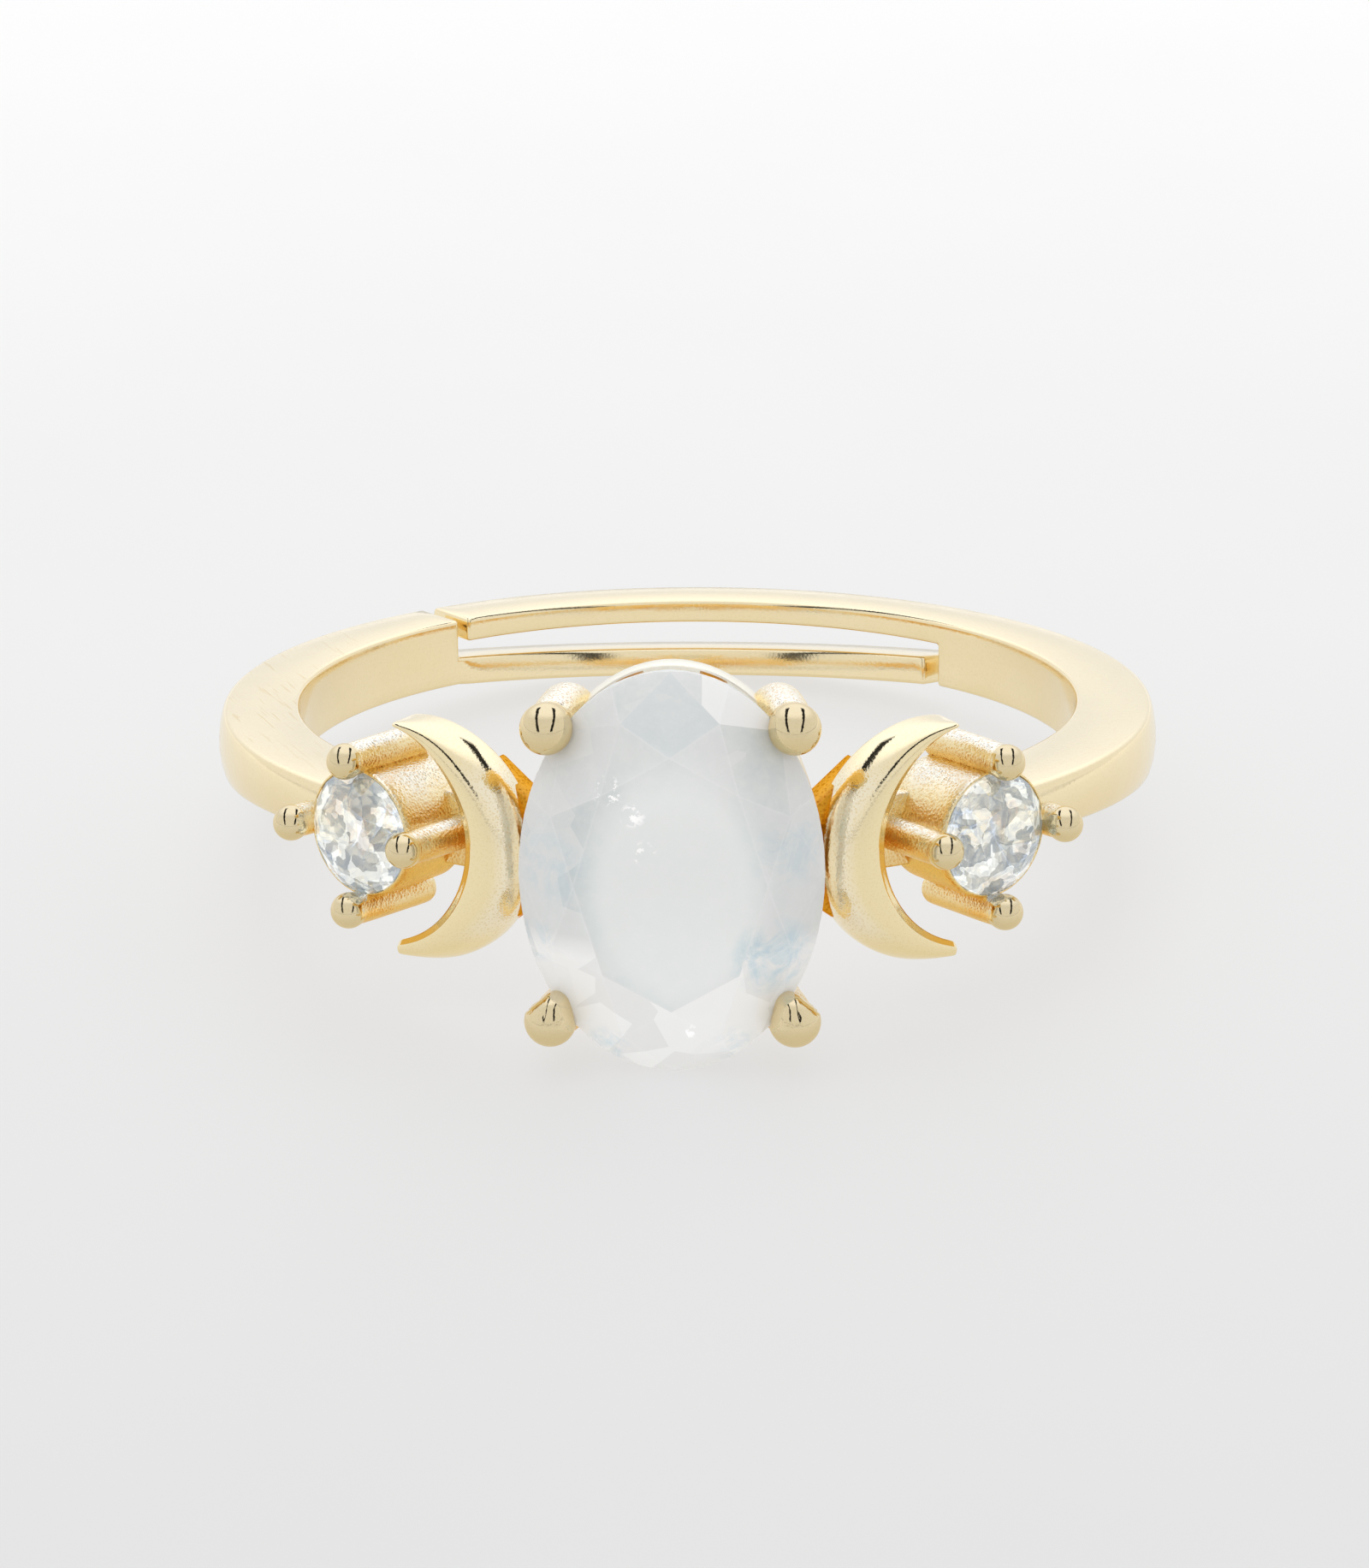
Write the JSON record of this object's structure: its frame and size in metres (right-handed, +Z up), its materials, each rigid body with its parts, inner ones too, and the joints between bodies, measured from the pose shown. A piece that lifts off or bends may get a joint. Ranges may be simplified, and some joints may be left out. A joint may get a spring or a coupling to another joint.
{
  "type": "moonstone ring",
  "caption": "Adjustable gold-toned ring with a lapped shank, an oval moonstone in a pronged basket, and a crescent and a clear round stone to each side.",
  "frame": {"origin": "centre of the bounding box on the surface that the ring lies on", "axes": "+Z up, +Y from the head towards the lap at the back of the shank, +X to the right of the head as it is seen from the front"},
  "size_m": [0.0198, 0.0214, 0.008],
  "materials": {
    "gold": "polished gold plating over cast silver, satin in the recesses",
    "moonstone": "polished, milky and translucent with a blue sheen",
    "clear_stone": "polished facets"
  },
  "bodies": {
    "root": {"ring_mount": "gold", "moonstone": "moonstone", "side_stone_left": "clear_stone", "side_stone_right": "clear_stone"}
  },
  "joints": []
}
